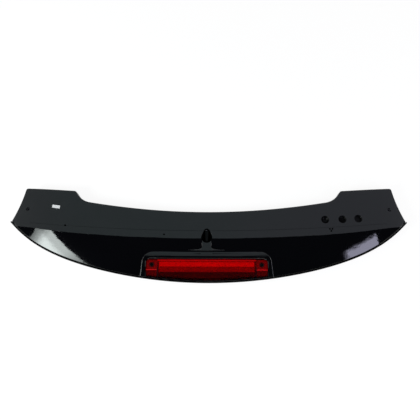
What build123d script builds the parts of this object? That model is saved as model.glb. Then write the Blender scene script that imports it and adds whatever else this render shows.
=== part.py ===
from build123d import *
import math
import os

# Car rear spoiler, lying on its painted top skin with its underside up.
# +X runs across the car, +Y from the trailing edge to the roof edge, +Z out of the underside.
# Lengths are millimetres, and slopes are rise over run.

# Plan outline
width = 1250.0
depth = 300.0
edge_bow = 134.0
tip_sweep = 52.0
tip_sweep_power = 8
front_chord = 223.0
front_radius = 2380.0
ear_half_width = 588.0
ear_root_half_width = 426.0
ear_rake = 9.0
ear_end_hollow = 4.6
notch_run = 24.0
notch_radius = 60.0
ear_corner_radius = 8.0

# Curved surfaces
crown_radius = 6500.0
chord_radius = 1500.0
ridge_height = 54.0
ridge_setback = 133.0
base_droop = 1.5
base_end_fall = 11.0
base_end_power = 10
base_slope_middle = 0.20
base_slope_ends = 0.02
base_slope_spread = 330.0
lip_slope = 0.315
lip_easing = 0.00025
edge_height = 9.0
edge_height_gain = 5.0

# Points that the curved faces pass through, across and along
face_points = (27, 9)
lip_points = (41, 9)
edge_points = 21

# Shell walls and edges
skin = 3.0
wall = 3.0
rim_wall = 4.0
rim_gap = 0.6
rim_round = 1.5
skin_round = 2.0
edge_round = 3.5
edge_lie_limit = 60.0
seam = 0.3

# Crease line across the mounting face
crease_chord = 157.0
crease_radius = 6440.0
crease_half_width = 560.0
crease_width = 1.4
crease_depth = 0.8

# Stop lamp
lamp_gap = 1.4
lens_half = 189.0
lens_chord = 70.0
lens_corner_radius = 10.0
lens_least_radius = 1.0
lens_wall = 2.5
lens_top = 33.0
lens_flat = 22.0
lens_flat_drop = 1.0
lens_mid = 15.4
lens_mid_drop = 5.0
lens_low_slope = 0.52
flute_pitch = 6.0
flute_bulge = 0.8
flute_root = 0.3
tab_width = 36.5
tab_drop = 3.0
tab_flat = 31.0
tab_flat_drop = 3.0
tab_low_slope = 0.45
seat_back_z = 21.0
seat_slope = 0.14
seal_thickness = 1.0
seal_width = 2.2
seal_margin = 0.3
housing_fit = 0.3
housing_wall = 2.0
housing_back_z = 8.5
housing_slope = -0.06
housing_overlap = 4.0
board_thickness = 1.6
board_height = 14.0
board_fit = 0.1
led_count = 14
led_size = (3.5, 1.9, 2.8)
led_lift = 9.0
resistor_count = 7
resistor_size = (3.2, 0.6, 1.6)
resistor_lift = 3.0
reflector_steps = 5
reflector_step = 3.6
reflector_step_rise = 1.0
reflector_thickness = 1.2
reflector_leg = 8.0
reflector_gap = 1.4
connector_size = (22.0, 16.0, 7.0)
connector_wall = 1.2
connector_gap = 0.6
connector_x = 50.0

# Lamp screws
screw_chord = 54.6
screw_head_radius = 4.2
screw_head_height = 2.8
screw_radius = 1.9
screw_gap = 0.3
screw_length = 12.0
screw_well_radius = 6.0
screw_boss_wall = 2.0
screw_seat = 3.0
screw_drive = 2.6
nut_size = (13.0, 10.0)
nut_thickness = 2.4

# Lamp hood
hood_level = 43.5
hood_chord = 93.0
hood_front_chord = 80.2
hood_half_back = 197.0
hood_half_front = 219.0
hood_corner_radius = 36.0
hood_rise = 4.0
hood_round = 2.0

# Washer nozzle housing
dormer_level = 52.5
dormer_half = 15.5
dormer_round = 3.0
dormer_chord = 104.0
flare_chord = 98.0
flare_half = 59.0
flare_bow = 3.0
flare_fall = 0.17
pocket_radius = 17.5
pocket_chord = 136.5
pocket_nose_radius = 9.5
pocket_nose_chord = 156.0
pocket_floor = 27.0
nozzle_head_radius = 6.6
nozzle_neck_half = 4.8
nozzle_head_chord = 156.5
nozzle_tail_chord = 127.0
nozzle_height = 17.0
nozzle_round = 3.0
nozzle_foot_thickness = 2.5
nozzle_foot_margin = 2.5
nozzle_spigot_radius = 4.0
nozzle_spigot_length = 12.0
nozzle_bore_radius = 2.0
nozzle_seal_thickness = 1.5
nozzle_tilt = 40.0
nozzle_gap = 0.3
jet_radius = 3.4
jet_gap = 0.05
jet_bore_radius = 0.6

# Fixings, recesses and label on the mounting face
insert_x = 573.0
insert_y = 78.0
insert_radius = 4.6
insert_bore_radius = 2.5
insert_length = 9.0
insert_sink = 3.5
insert_mouth_radius = 6.2
insert_fit = 0.05
insert_boss_wall = 4.5
recess_radius = 12.5
recess_depth = 11.0
recess_places = ((370.0, 45.0), (423.5, 46.0), (473.0, 48.0))
peg_hole_radius = 3.2
peg_hole = (-446.0, 24.0)
vent_radius = 2.8
vent_places = ((386.0, 8.0), (382.0, 14.5), (390.0, 14.5), (-133.0, -4.5))
hole_depth = 6.0
label_size = (25.0, 10.0)
label_place = (-482.0, 86.0)
label_turn = -8.0
label_thickness = 0.2
label_gap = 0.1

# Derived places
half = width / 2
edge_y = -depth / 2
front_y = edge_y + front_chord
ridge_y = edge_y + ridge_setback
lens_back_y = edge_y + lens_chord
screw_y = edge_y + screw_chord
reach = 150.0
overrun = 65.0
lip_inset = rim_wall + rim_gap
well_inset = lip_inset + wall
lens_inset = well_inset + lamp_gap
tab_x = lens_half - tab_width
screw_x = lens_half - tab_width / 2
board_y = lens_back_y - lens_wall - housing_fit - housing_wall - board_fit
board_half = tab_x - lens_wall - housing_fit - housing_wall - board_fit
nozzle_head_y = edge_y + nozzle_head_chord
nozzle_spigot_y = edge_y + pocket_chord
nozzle_foot_z = pocket_floor + nozzle_seal_thickness
nozzle_top = nozzle_foot_z + nozzle_height


def trailing_y(x):
    """Where the trailing edge runs in plan."""
    share = x / half
    return edge_y + edge_bow * share**2 + tip_sweep * share**tip_sweep_power


def trailing_slope(x):
    """How steeply the trailing edge turns forward in plan."""
    share = x / half
    sweep = tip_sweep_power * tip_sweep * share ** (tip_sweep_power - 1)
    return (2 * edge_bow * share + sweep) / half


def trailing_point(x, inset):
    """A plan point set in from the trailing edge, square to it."""
    slope = trailing_slope(x)
    length = math.hypot(1, slope)
    return x - inset * slope / length, trailing_y(x) + inset / length


def top_z(x, y):
    """The painted top skin, crowned across and along."""
    return x**2 / (2 * crown_radius) + y**2 / (2 * chord_radius)


def rim_z(x, y):
    """The underside of the trailing edge, thicker towards the tips."""
    return top_z(x, y) + edge_height + edge_height_gain * (x / half) ** 4


def base_z(x, y):
    """The mounting face, a wedge in the middle that flattens outwards and falls at the ends."""
    spread = math.exp(-((x / base_slope_spread) ** 2))
    slope = base_slope_ends + (base_slope_middle - base_slope_ends) * spread
    share = x / half
    fall = base_droop * share**2 + base_end_fall * share**base_end_power
    return ridge_height - fall - slope * (y - ridge_y)


def seat_z(y):
    """The sloping seat that the lamp's edge stands on."""
    return seat_back_z + seat_slope * (y - lens_back_y)


def housing_z(y):
    """The underside of the lamp housing."""
    return housing_back_z + housing_slope * (y - lens_back_y)


screw_z = seat_z(screw_y) + screw_seat
board_z = housing_z(board_y - board_thickness) + housing_wall
insert_z = base_z(insert_x, insert_y) - insert_sink


def stations(count, limit):
    """Even places from one end to the other."""
    return [limit * (2 * i / (count - 1) - 1) for i in range(count)]


def height_face(height):
    """A smooth face through points of a height formula."""
    across = stations(face_points[0], half + overrun)
    along = stations(face_points[1], depth / 2 + overrun)
    rows = [[(x, y, height(x, y)) for x in across] for y in along]
    return Face.make_surface_from_array_of_points(rows)


def lip_face():
    """The gloss lip, rising from the trailing edge at one slope all the way round."""
    outside = -overrun / 2
    inside = front_chord + overrun / 2
    rows = []
    for step in range(lip_points[1]):
        inset = outside + (inside - outside) * step / (lip_points[1] - 1)
        rise = lip_slope * inset - lip_easing * inset**2
        row = []
        for x in stations(lip_points[0], half + overrun):
            px, py = trailing_point(x, inset)
            row.append((px, py, rim_z(x, trailing_y(x)) + rise))
        rows.append(row)
    return Face.make_surface_from_array_of_points(rows)


def over(face, lift=0.0):
    """The space above a face."""
    return Pos(0, 0, lift) * extrude(face, amount=reach, dir=(0, 0, 1))


def under(face, lift=0.0):
    """The space below a face."""
    return Pos(0, 0, lift) * extrude(face, amount=reach, dir=(0, 0, -1))


def edge_region(inset):
    """Plan region inside the trailing edge."""
    points = [trailing_point(x, inset) for x in stations(edge_points, half + overrun)]
    right, left = points[-1], points[0]
    rest = Polyline(right, (right[0] + overrun, depth), (left[0] - overrun, depth), left)
    return make_face([Spline(points), *rest.edges()])


def front_region():
    """Plan region inside the ears, notches and roof edge."""
    foot_x = ear_root_half_width - notch_run
    foot = (foot_x, front_y + foot_x**2 / (2 * front_radius))
    root = (ear_root_half_width, depth / 2 - ear_rake)
    corner = (ear_half_width, depth / 2)
    tip = (half, trailing_y(half))
    roof = ThreePointArc((-foot[0], foot[1]), (0, front_y), foot)
    along = SagittaArc(corner, tip, -ear_end_hollow).tangent_at(1)
    low = Vector(*corner) + along * 2 * (Vector(*tip) - Vector(*corner)).dot(along)
    tail = Vector(low.X, -depth)
    right = [Line(foot, root), Line(root, corner), ThreePointArc(corner, tip, low), Line(low, tail)]
    left = [mirror(edge, Plane.YZ) for edge in right]
    face = make_face([roof, *right, Line(tail, (-tail.X, tail.Y)), *left])
    for place, radius in ((foot, notch_radius), (root, ear_corner_radius), (corner, ear_corner_radius)):
        for side in (1, -1):
            spot = Vector(side * place[0], place[1])
            face = fillet(face.vertices().sort_by_distance(spot)[0], radius)
    return face


def bar(points, start, end):
    """A straight bar across the car, of a section given as (y, z) points."""
    section = make_face(Polyline(*points, close=True))
    return extrude(Plane.YZ.offset(start) * section, amount=end - start)


def span(points, limit):
    """A bar that reaches as far to the left as to the right."""
    return bar(points, -limit, limit)


def slab(height, lift, up):
    """The space above or below a plane that slopes along the car."""
    far = reach if up else -reach
    ends = (edge_y - overrun, front_y)
    points = [(y, height(y) + lift) for y in ends]
    return span([*points, (ends[1], far), (ends[0], far)], half)


def block(half_x, back, radius=0.0):
    """Plan rectangle from a back line to well past the trailing edge."""
    length = depth / 2
    shape = RectangleRounded(2 * half_x, length, radius) if radius else Rectangle(2 * half_x, length)
    return Pos(0, back - length / 2) * shape


def post(radius, x, y, low, high):
    """An upright cylinder between two heights."""
    return Pos(x, y, low) * extrude(Circle(radius), amount=high - low)


def prism(face):
    """Plan face taken up through the whole body."""
    return extrude(face, amount=reach, dir=(0, 0, 1))


top_face = height_face(top_z)
base_face = height_face(base_z)
lip = lip_face()
front = front_region()
full_plan = edge_region(0) & front
lip_plan = edge_region(lip_inset) & front
inner_plan = edge_region(well_inset) & offset(front, -wall, kind=Kind.ARC)


def lying(edge):
    """Whether an edge runs along rather than up."""
    return abs(edge.tangent_at(0.5).Z) < math.sin(math.radians(edge_lie_limit))


def above_skin(edge):
    """How far the middle of an edge lies above the painted face."""
    spot = edge.position_at(0.5)
    return spot.Z - top_z(spot.X, spot.Y)


def off_trailing_edge(edge):
    """Whether the middle of an edge lies clear of the trailing edge's rim."""
    spot = edge.position_at(0.5)
    return spot.Y > trailing_y(spot.X) + 2 * lip_inset


def upper_shell():
    """The painted skin with its raised rim along the trailing edge."""
    sheet = prism(full_plan) & over(top_face) & under(top_face, skin)
    band = prism(full_plan - edge_region(rim_wall))
    rim = band & over(top_face) & under(height_face(rim_z))
    shell = sheet + rim
    edges = [edge for edge in shell.edges() if lying(edge)]
    shell = fillet([edge for edge in edges if above_skin(edge) > skin + rim_round], rim_round)
    edges = [edge for edge in shell.edges() if lying(edge)]
    return fillet([edge for edge in edges if above_skin(edge) < seam], skin_round)


def well_plan(grow):
    """Plan of the lamp well, to its walls' inside or outside."""
    corner = lens_corner_radius + lamp_gap + grow
    shape = block(lens_half + lamp_gap + grow, lens_back_y + lamp_gap + grow, corner)
    return edge_region(well_inset - grow) & shape


def hood():
    """Raised brow round the lamp well, level at the back and low along the sides."""
    back = edge_y + hood_chord
    front_end = edge_y - overrun
    outline = Polyline(
        (-hood_half_back, back),
        (hood_half_back, back),
        (hood_half_front, front_end),
        (-hood_half_front, front_end),
        close=True,
    )
    face = make_face(outline)
    face = fillet(face.vertices().group_by(Axis.Y)[-1], hood_corner_radius)
    level = slab(lambda y: hood_level, 0, False)
    body = prism(face & lip_plan) & under(lip, hood_rise) & level & over(top_face, skin)
    edges = [edge for edge in body.edges() if lying(edge) and above_skin(edge) > skin + hood_rise]
    return fillet([edge for edge in edges if off_trailing_edge(edge)], hood_round)


def dormer():
    """Level T-shaped fairing that carries the washer nozzle over the lip."""
    neck_y = edge_y + dormer_chord
    tip_y = edge_y + flare_chord
    front_mid = (0, tip_y - flare_bow)
    arc = ThreePointArc((-flare_half, tip_y), front_mid, (flare_half, tip_y))
    neck = dormer_half
    back_y = ridge_y + pocket_radius
    right = Bezier((flare_half, tip_y), (neck, tip_y), (neck, neck_y))
    left = mirror(right, Plane.YZ)
    rest = Polyline((neck, neck_y), (neck, back_y), (-neck, back_y), (-neck, neck_y))
    plan = make_face([arc, right, left, *rest.edges()])
    low = dormer_level - flare_fall * flare_half
    roof = Polyline(
        (-flare_half - neck, low),
        (-neck, dormer_level),
        (neck, dormer_level),
        (flare_half + neck, low),
        (flare_half + neck, 0),
        (-flare_half - neck, 0),
        close=True,
    )
    shape = extrude(Plane.XZ * make_face(roof), amount=depth, both=True)
    body = prism(plan) & shape & under(base_face, wall) & over(top_face, skin)
    length = back_y - neck_y
    for side in (1, -1):
        middle = Pos(side * neck, neck_y + length / 2, dormer_level)
        bead = Pos(-side * dormer_round, 0, -dormer_round) * Rot(90, 0, 0) * Cylinder(dormer_round, length)
        body = body - middle * (Box(2 * dormer_round, length, 2 * dormer_round) - bead)
    return body


def pocket_plan(grow):
    """Teardrop plan of the nozzle pocket, to its walls' inside or outside."""
    tail = Pos(0, edge_y + pocket_chord) * Circle(pocket_radius + grow)
    nose = Pos(0, edge_y + pocket_nose_chord) * Circle(pocket_nose_radius + grow)
    return make_hull(tail.edges() + nose.edges())


def rounded(body):
    """The body with the edges of its underside rounded."""
    edges = [edge for edge in body.edges() if lying(edge) and above_skin(edge) > skin + edge_round]
    return fillet(edges, edge_round)


def brow_cut():
    """Space in front of the brow, down a slope to the lamp well."""
    brow_y = edge_y + hood_front_chord
    well_y = lens_back_y + lamp_gap
    section = [(brow_y, hood_level), (well_y, lens_top), (well_y, reach), (brow_y, reach)]
    return span(section, lens_half + lamp_gap - lens_corner_radius)


def crease():
    """Fine groove that runs across the mounting face in front of the ridge."""
    middle = edge_y + crease_chord
    drop = crease_half_width**2 / (2 * crease_radius)
    arcs = []
    for shift in (0, crease_width):
        ends = middle + drop + shift
        arcs.append(ThreePointArc((-crease_half_width, ends), (0, middle + shift), (crease_half_width, ends)))
    near, far = arcs
    caps = [Line(near @ 0, far @ 0), Line(near @ 1, far @ 1)]
    return prism(make_face([near, far, *caps])) & over(base_face, -crease_depth)


def lower_shell():
    """The underside moulding, open at the back and bonded to the skin."""
    outer = rounded(prism(lip_plan) & over(top_face, skin) & under(base_face) & under(lip))
    outer = outer + hood() + dormer()
    hollow = prism(inner_plan) & over(top_face) & under(base_face, -wall) & under(lip, -wall)
    hollow = hollow - (prism(well_plan(wall)) & slab(seat_z, -seal_thickness - wall, True))
    hollow = hollow - (prism(pocket_plan(wall)) & slab(lambda y: pocket_floor - wall, 0, True))
    for side in (1, -1):
        hollow = hollow - post(insert_radius + insert_boss_wall, side * insert_x, insert_y, 0, reach)
    for x, y in recess_places:
        floor = base_z(x, y) - recess_depth
        hollow = hollow - post(recess_radius + wall, x, y, floor - wall, reach)
    shell = outer - hollow
    shell = shell - (prism(well_plan(0)) & slab(seat_z, -seal_thickness, True))
    shell = shell - brow_cut() - prism(aperture_plan())
    shell = shell - (prism(pocket_plan(0)) & slab(lambda y: pocket_floor, 0, True))
    shell = shell - post(nozzle_spigot_radius + nozzle_gap, 0, nozzle_spigot_y, 0, reach)
    for side in (1, -1):
        shell = shell - post(insert_radius, side * insert_x, insert_y, insert_z - insert_length, reach)
        shell = shell - post(insert_mouth_radius, side * insert_x, insert_y, insert_z, reach)
        shell = shell - post(screw_radius + screw_gap, side * screw_x, screw_y, 0, reach)
    for x, y in recess_places:
        shell = shell - post(recess_radius, x, y, base_z(x, y) - recess_depth, reach)
    for x, y in vent_places:
        shell = shell - post(vent_radius, x, y, base_z(x, y) - hole_depth, reach)
    shell = shell - post(peg_hole_radius, *peg_hole, base_z(*peg_hole) - hole_depth, reach)
    return shell - crease()


def lens_plan(inset):
    """Plan of the lens, to its outside or set in from it."""
    shape = block(lens_half - inset, lens_back_y - inset, max(lens_corner_radius - inset, lens_least_radius))
    return edge_region(lens_inset + inset) & shape


def aperture_plan():
    """Opening in the lamp seat that the housing passes through."""
    back = lens_back_y - seal_width
    return edge_region(lens_inset + seal_width) & block(tab_x - lens_wall, back)


def lens_section(lower):
    """Facets of the lens, from its back edge down to the trailing edge, taken down by a wall."""
    back, top = lens_back_y, lens_top - lower
    first = (back - lens_flat, top - lens_flat_drop)
    second = (first[0] - lens_mid, first[1] - lens_mid_drop)
    end = (edge_y - overrun, second[1] - lens_low_slope * (second[0] - edge_y + overrun))
    far = -reach
    return [(back + overrun, top), (back, top), first, second, end, (end[0], far), (back + overrun, far)]


def tab_section(lower):
    """Facets of the screw tab at each end of the lens, taken down by a wall."""
    back, top = lens_back_y, lens_top - tab_drop - lower
    first = (back - tab_flat, top - tab_flat_drop)
    end = (edge_y - overrun, first[1] - tab_low_slope * (first[0] - edge_y + overrun))
    far = -reach
    return [(back + overrun, top), (back, top), first, end, (end[0], far), (back + overrun, far)]


def lens_form(inset):
    """Closed outer or inner form of the lens."""
    middle = span(lens_section(inset), tab_x - inset)
    ends = span(tab_section(inset), lens_half)
    return (middle + ends) & prism(lens_plan(inset))


def lens_flutes():
    """Upright flutes inside the middle facet, which spread the light."""
    start = Vector(0, lens_back_y - lens_flat, lens_top - lens_flat_drop - lens_wall)
    run = Vector(0, -lens_mid, -lens_mid_drop)
    side = flute_pitch / 2
    root = Polyline((-side, 0), (-side, -flute_root), (side, -flute_root), (side, 0))
    arc = ThreePointArc((side, 0), (0, flute_bulge), (-side, 0))
    section = make_face([*root.edges(), arc])
    count = int(2 * (tab_x - 2 * lens_wall) / flute_pitch)
    flutes = []
    for i in range(count):
        x = (i - (count - 1) / 2) * flute_pitch
        place = Plane(start + Vector(x, 0, 0), x_dir=(1, 0, 0), z_dir=run)
        flutes.append(extrude(place * section, amount=run.length))
    return flutes


def stop_lamp_lens():
    """Red lens with a screw tab at each end, fluted inside."""
    outer = lens_form(0) & slab(seat_z, 0, True)
    lens = outer - lens_form(lens_wall)
    for side in (1, -1):
        boss = post(screw_well_radius + screw_boss_wall, side * screw_x, screw_y, 0, reach)
        lens = lens + (boss & outer)
        lens = lens - post(screw_well_radius, side * screw_x, screw_y, screw_z, reach)
        lens = lens - post(screw_radius + screw_gap, side * screw_x, screw_y, 0, reach)
    return lens + lens_flutes()


def housing_plan(inset):
    """Plan of the lamp housing, to its outside or set in from it."""
    gap = lens_wall + housing_fit + inset
    return edge_region(lens_inset + gap) & block(tab_x - gap, lens_back_y - gap)


def stop_lamp_housing():
    """Tray that closes the lens from behind, with end walls up to the lens."""
    form = prism(housing_plan(0)) & slab(housing_z, 0, True)
    form = form & span(lens_section(lens_wall + flute_bulge + housing_fit), half)
    tray = form & slab(seat_z, housing_overlap, False)
    tray = tray - (prism(housing_plan(housing_wall)) & slab(housing_z, housing_wall, True))
    return tray + (form - prism(block(board_half + board_fit, lens_back_y)))


def stop_lamp_circuit_board():
    """Strip board that stands along the back of the housing."""
    middle = Pos(0, board_y - board_thickness / 2, board_z + board_height / 2)
    return middle * Box(2 * board_half, board_thickness, board_height)


def row_on_board(count, size, lift):
    """Small parts in an even row on the front of the board."""
    pitch = 2 * board_half / count
    parts = []
    for i in range(count):
        x = (i - (count - 1) / 2) * pitch
        y = board_y - board_thickness - size[1] / 2
        parts.append(Pos(x, y, board_z + lift) * Box(*size))
    return Compound(parts)


def stop_lamp_reflector():
    """Stepped bright panel over the diodes, with a leg down to the housing at each end."""
    top = lens_top - lens_flat_drop - lens_wall - reflector_gap
    start = lens_back_y - lens_wall - housing_fit
    low = top - reflector_step_rise
    points = []
    for i in range(reflector_steps):
        y = start - i * reflector_step
        points.append((y, low))
        points.append((y - reflector_step, top))
    nose_y = start - reflector_steps * reflector_step
    tail_y = lens_back_y - lens_flat - lens_mid
    fall = lens_mid_drop / lens_mid * (nose_y - tail_y)
    under_low = low - reflector_thickness
    points += [(nose_y, low), (tail_y, low - fall)]
    points += [(tail_y, under_low - fall), (nose_y, under_low), (start, under_low)]
    panel = span(points, board_half)
    leg_y = board_y - 2 * board_thickness - led_size[1]
    toe_y = leg_y - reflector_leg
    foot_z = housing_z(toe_y) + housing_wall
    leg = [(leg_y, under_low), (toe_y, under_low), (toe_y, foot_z), (leg_y, foot_z)]
    for side in (1, -1):
        ends = sorted((side * board_half, side * (board_half - reflector_thickness)))
        panel = panel + bar(leg, *ends)
    return panel


def stop_lamp_seal():
    """Foam ring that the lamp's edge stands on."""
    ring = prism(lens_plan(seal_margin) - aperture_plan())
    ring = ring & slab(seat_z, 0, False) & slab(seat_z, -seal_thickness, True)
    for side in (1, -1):
        ring = ring - post(screw_radius + screw_gap, side * screw_x, screw_y, 0, reach)
    return ring


def stop_lamp_screws():
    """Pan-headed screws through the lens tabs."""
    screws = []
    for side in (1, -1):
        head = post(screw_head_radius, side * screw_x, screw_y, screw_z, screw_z + screw_head_height)
        head = fillet(head.edges().group_by(Axis.Z)[-1], screw_head_height / 2)
        drive = extrude(RegularPolygon(screw_drive, 6), amount=screw_head_height)
        drive = Pos(side * screw_x, screw_y, screw_z + screw_head_height / 2) * drive
        shank = post(screw_radius, side * screw_x, screw_y, screw_z - screw_length, screw_z)
        screws.append(head - drive + shank)
    return Compound(screws)


def stop_lamp_clip_nuts():
    """Spring nuts held against the back of the lamp seat."""
    nuts = []
    back = -seal_thickness - wall
    for side in (1, -1):
        sheet = prism(Pos(side * screw_x, screw_y) * Rectangle(*nut_size))
        nut = sheet & slab(seat_z, back, False) & slab(seat_z, back - nut_thickness, True)
        nuts.append(nut - post(screw_radius, side * screw_x, screw_y, 0, reach))
    return Compound(nuts)


def stop_lamp_connector():
    """Plug socket on the back of the housing, open towards the roof edge."""
    across, along, tall = connector_size
    back = lens_back_y - lens_wall - housing_fit
    z = seat_z(back) - seal_thickness - wall - connector_gap - tall / 2
    shell = Pos(connector_x, back + along / 2, z) * Box(across, along, tall)
    inside = Box(across - 2 * connector_wall, along, tall - 2 * connector_wall)
    return shell - Pos(connector_x, back + along / 2 + 2 * connector_wall, z) * inside


def washer_nozzle_seal():
    """Rubber pad under the nozzle's foot."""
    pad = extrude(pocket_plan(-nozzle_foot_margin), amount=nozzle_seal_thickness, dir=(0, 0, 1))
    hole = post(nozzle_spigot_radius + nozzle_gap, 0, nozzle_spigot_y, 0, reach)
    return Pos(0, 0, pocket_floor) * pad - hole


def jet_place():
    """Where the ball jet sits, tilted towards the window."""
    middle = (0, nozzle_head_y + nozzle_head_radius / 2, nozzle_top - jet_radius / 2)
    return Location(middle, (-nozzle_tilt, 0, 0))


def washer_nozzle_body():
    """Washer nozzle with its foot, rounded head and hose spigot."""
    foot = extrude(pocket_plan(-nozzle_foot_margin), amount=nozzle_foot_thickness, dir=(0, 0, 1))
    foot = Pos(0, 0, nozzle_foot_z) * foot
    head = Pos(0, nozzle_head_y) * Circle(nozzle_head_radius)
    tail = Pos(0, edge_y + nozzle_tail_chord) * Circle(nozzle_neck_half)
    plan = make_hull(head.edges() + tail.edges())
    trunk = Pos(0, 0, nozzle_foot_z) * extrude(plan, amount=nozzle_top - nozzle_foot_z, dir=(0, 0, 1))
    trunk = fillet(trunk.edges().group_by(Axis.Z)[-1], nozzle_round)
    spigot_end = pocket_floor - nozzle_spigot_length
    spigot = post(nozzle_spigot_radius, 0, nozzle_spigot_y, spigot_end, nozzle_foot_z)
    bore = post(nozzle_bore_radius, 0, nozzle_spigot_y, 0, nozzle_foot_z + nozzle_foot_thickness)
    return foot + trunk + spigot - bore - jet_place() * Sphere(jet_radius + jet_gap)


def washer_nozzle_jet():
    """Ball jet with its fine bore."""
    return jet_place() * (Sphere(jet_radius) - Cylinder(jet_bore_radius, 4 * jet_radius))


def threaded_inserts():
    """Threaded sleeves pressed into the ears."""
    inserts = []
    low = insert_z - insert_length
    for side in (1, -1):
        sleeve = post(insert_radius - insert_fit, side * insert_x, insert_y, low, insert_z)
        inserts.append(sleeve - post(insert_bore_radius, side * insert_x, insert_y, 0, reach))
    return Compound(inserts)


def inspection_label():
    """Small paper label stuck to the left ear."""
    plan = Pos(*label_place) * Rot(0, 0, label_turn) * Rectangle(*label_size)
    return prism(plan) & over(base_face, label_gap) & under(base_face, label_gap + label_thickness)


pieces = {
    "upper_shell": upper_shell(),
    "lower_shell": lower_shell(),
    "stop_lamp_lens": stop_lamp_lens(),
    "stop_lamp_housing": stop_lamp_housing(),
    "stop_lamp_reflector": stop_lamp_reflector(),
    "stop_lamp_circuit_board": stop_lamp_circuit_board(),
    "stop_lamp_leds": row_on_board(led_count, led_size, led_lift),
    "stop_lamp_resistors": row_on_board(resistor_count, resistor_size, resistor_lift),
    "stop_lamp_seal": stop_lamp_seal(),
    "stop_lamp_screws": stop_lamp_screws(),
    "stop_lamp_clip_nuts": stop_lamp_clip_nuts(),
    "stop_lamp_connector": stop_lamp_connector(),
    "washer_nozzle_body": washer_nozzle_body(),
    "washer_nozzle_jet": washer_nozzle_jet(),
    "washer_nozzle_seal": washer_nozzle_seal(),
    "threaded_inserts": threaded_inserts(),
    "inspection_label": inspection_label(),
}

os.makedirs("parts", exist_ok=True)
for name, piece in pieces.items():
    export_step(piece, f"parts/{name}.step")
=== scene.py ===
import logging
import math
from dataclasses import dataclass, field
from enum import Enum
from typing import Callable, Dict, List, Optional, Sequence, Tuple

import bmesh
import bpy
from mathutils import Matrix, Vector


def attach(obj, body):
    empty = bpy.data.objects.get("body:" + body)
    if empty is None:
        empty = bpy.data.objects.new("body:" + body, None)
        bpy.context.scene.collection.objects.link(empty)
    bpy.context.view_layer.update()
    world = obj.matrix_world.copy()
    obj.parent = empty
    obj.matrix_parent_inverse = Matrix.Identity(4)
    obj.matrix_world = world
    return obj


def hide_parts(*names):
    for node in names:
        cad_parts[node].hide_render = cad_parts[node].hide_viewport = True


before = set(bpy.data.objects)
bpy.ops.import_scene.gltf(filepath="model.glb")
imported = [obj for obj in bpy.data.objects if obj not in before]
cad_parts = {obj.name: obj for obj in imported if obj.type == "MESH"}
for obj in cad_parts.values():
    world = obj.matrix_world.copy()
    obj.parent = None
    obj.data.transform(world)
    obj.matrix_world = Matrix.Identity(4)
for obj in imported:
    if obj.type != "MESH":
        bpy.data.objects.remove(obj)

LOG = logging.getLogger("spoiler")
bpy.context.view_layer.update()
MM = 0.001
MERGE_DISTANCE = 0.00001
TRIANGLE_CORNERS = 3
UNIT_SQUARE_HALF = 0.5
QUARTER_TURN = math.pi / 2
SIDES = (-1.0, 1.0)
OFF_TO_ON = (0.0, 1.0)
WIDTHWAYS = Vector((1.0, 0.0, 0.0))
DEPTHWAYS = Vector((0.0, 1.0, 0.0))
Colour = Tuple[float, float, float]
Span = Tuple[float, float]
Height = Callable[[float, float], float]
WHITE: Colour = (1.0, 1.0, 1.0)
CARD_DARK: Colour = (0.015, 0.016, 0.022)


class PieceZone(Enum):
    """The one zone of a piece that has a single finish."""

    WHOLE = "every face"


class UndersideZone(Enum):
    """What a face of the underside moulding belongs to."""

    LIP = "gloss lip, hood sides and lamp well"
    MOUNTING = "satin mounting face, neck and brow"
    RECESS = "inside of a recess or a hole"


class SkinZone(Enum):
    """What a face of the top skin belongs to."""

    PAINT = "painted face"
    EDGE = "edge that faces up"
    TIP = "edge at a tip, seen from above"


class LensZone(Enum):
    """What a face of the lens belongs to."""

    CLEAR = "over the reflector"
    LOW = "lowest facet"
    BACK = "edge under the brow"
    TAB = "level part of a screw tab"
    RIDGE = "edge across a screw tab"
    FOOT = "sloping part of a screw tab"
    # Painted shade: the well, the ring round it and the seam take opaque dark reds.
    WELL = "screw well"
    COLLAR = "rim round a screw well"
    SEAM = "step between a screw tab and the facets"


class ReflectorZone(Enum):
    """What a face of the reflector belongs to."""

    STEPS = "under the top facet"
    SLOPE = "under the fluted facet"


class Pattern(Enum):
    """The kind of fine detail that a surface has."""

    MOULDED = "even grain"
    DRAWN = "grain drawn out along the width"
    POROUS = "open cells"


class Along(Enum):
    """A direction on a lamp's face."""

    WIDTH = "X"
    HEIGHT = "Y"


class Rule(Enum):
    """How a node makes one number of two."""

    PRODUCT = "MULTIPLY"
    LARGER = "MAXIMUM"


def opaque(colour: Colour) -> Tuple[float, float, float, float]:
    """A colour with full cover, as sockets take it."""
    return (*colour, 1.0)


def map_range(tree: bpy.types.NodeTree, given: Span, wanted: Span) -> bpy.types.ShaderNode:
    """Adds a node that turns one range of numbers into another.

    Args:
        tree: The node tree to add it to.
        given: The ends of the range that comes in.
        wanted: The ends of the range that goes out.

    Returns:
        The node.
    """
    node = tree.nodes.new("ShaderNodeMapRange")
    names = ("From Min", "From Max", "To Min", "To Max")
    for name, value in zip(names, (*given, *wanted)):
        node.inputs[name].default_value = value
    return node


def join_numbers(
    tree: bpy.types.NodeTree, rule: Rule, first: bpy.types.NodeSocket, second: bpy.types.NodeSocket
) -> bpy.types.NodeSocket:
    """Adds a node that makes one number of two.

    Args:
        tree: The node tree to add it to.
        rule: How the two make one.
        first: The first number.
        second: The second number.

    Returns:
        The socket that gives the result.
    """
    node = tree.nodes.new("ShaderNodeMath")
    node.operation = rule.value
    tree.links.new(first, node.inputs[0])
    tree.links.new(second, node.inputs[1])
    return node.outputs["Value"]


def bare_material(name: str) -> bpy.types.Material:
    """Makes a material that has only its output node.

    Args:
        name: The material's name.

    Returns:
        The material, ready for its own nodes.
    """
    made = bpy.data.materials.new(name)
    made.use_nodes = True
    made.node_tree.nodes.remove(made.node_tree.nodes["Principled BSDF"])
    return made


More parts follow.
